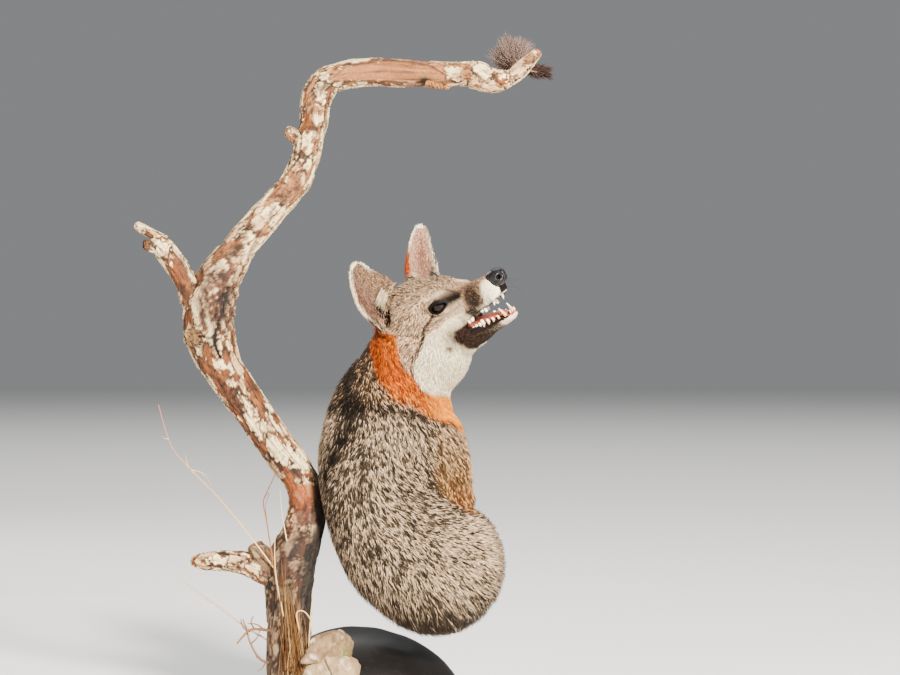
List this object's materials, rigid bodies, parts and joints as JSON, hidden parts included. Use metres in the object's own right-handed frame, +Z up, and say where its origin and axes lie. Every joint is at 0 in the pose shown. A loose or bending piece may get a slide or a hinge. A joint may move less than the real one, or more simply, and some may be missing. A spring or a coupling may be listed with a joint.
{
  "type": "taxidermy gray fox half mount",
  "caption": "Life-size gray fox half mount, mouth open and head raised, fixed by its back to a dead branch on a dark mound with a stone, dry grass and a feather.",
  "frame": {"origin": "middle of the mound's flat underside", "axes": "+Z up along the mount's height; +X towards the fox's chest side and the tip of the branch's arm; -Y towards the fox's right flank"},
  "size_m": [0.3754, 0.2421, 0.635],
  "materials": {
    "grey_coat": "grizzled gray fur, black and white banded hairs",
    "pale_coat": "pale short fur of the lower jaw and throat",
    "orange_coat": "rust orange fur of the neck",
    "tan_coat": "tan fur of the chest side",
    "ear_fur": "thin ear skin with short cream and orange hair",
    "nose_leather": "dark pebbled nose pad, satin",
    "glass_eye": "dark brown polished glass eye",
    "tongue": "painted wet pink red mouth parts",
    "bark": "flaking bark, pale plates over red brown inner bark",
    "bare_wood": "weathered bare wood",
    "sandstone": "matte buff sandstone with a stained upper face",
    "mound_gloss": "dark brown black polished mound",
    "down": "loose grey brown down",
    "vane": "blackish feather vane",
    "straw": "dry golden brown grass and stems"
  },
  "bodies": {
    "root": {"head": "grey_coat", "nose": "nose_leather", "lower_jaw": "pale_coat", "tongue": "tongue", "eye_right": "glass_eye", "eye_left": "glass_eye", "ear_right": "ear_fur", "ear_left": "ear_fur", "neck": "orange_coat", "shoulders": "grey_coat", "chest": "tan_coat", "rear_body": "grey_coat", "branch_foot": "bark", "branch_bend": "bark", "branch_lower": "bark", "branch_crotch": "bark", "branch_upper": "bark", "branch_elbow": "bark", "branch_arm": "bark", "branch_tip": "bare_wood", "limb_left": "bare_wood", "limb_low": "bare_wood", "knob_low": "bare_wood", "knot_cut": "bare_wood", "knot_high": "bare_wood", "knob_left": "bare_wood", "twig_left": "bare_wood", "stone": "sandstone", "mound": "mound_gloss", "feather_down": "down", "feather_vane": "vane", "grass_tuft": "straw", "stem_long": "straw", "stem_red": "straw", "stem_fine": "straw", "stem_low": "straw", "twig_upper": "straw", "twig_lower": "straw"}
  },
  "joints": []
}
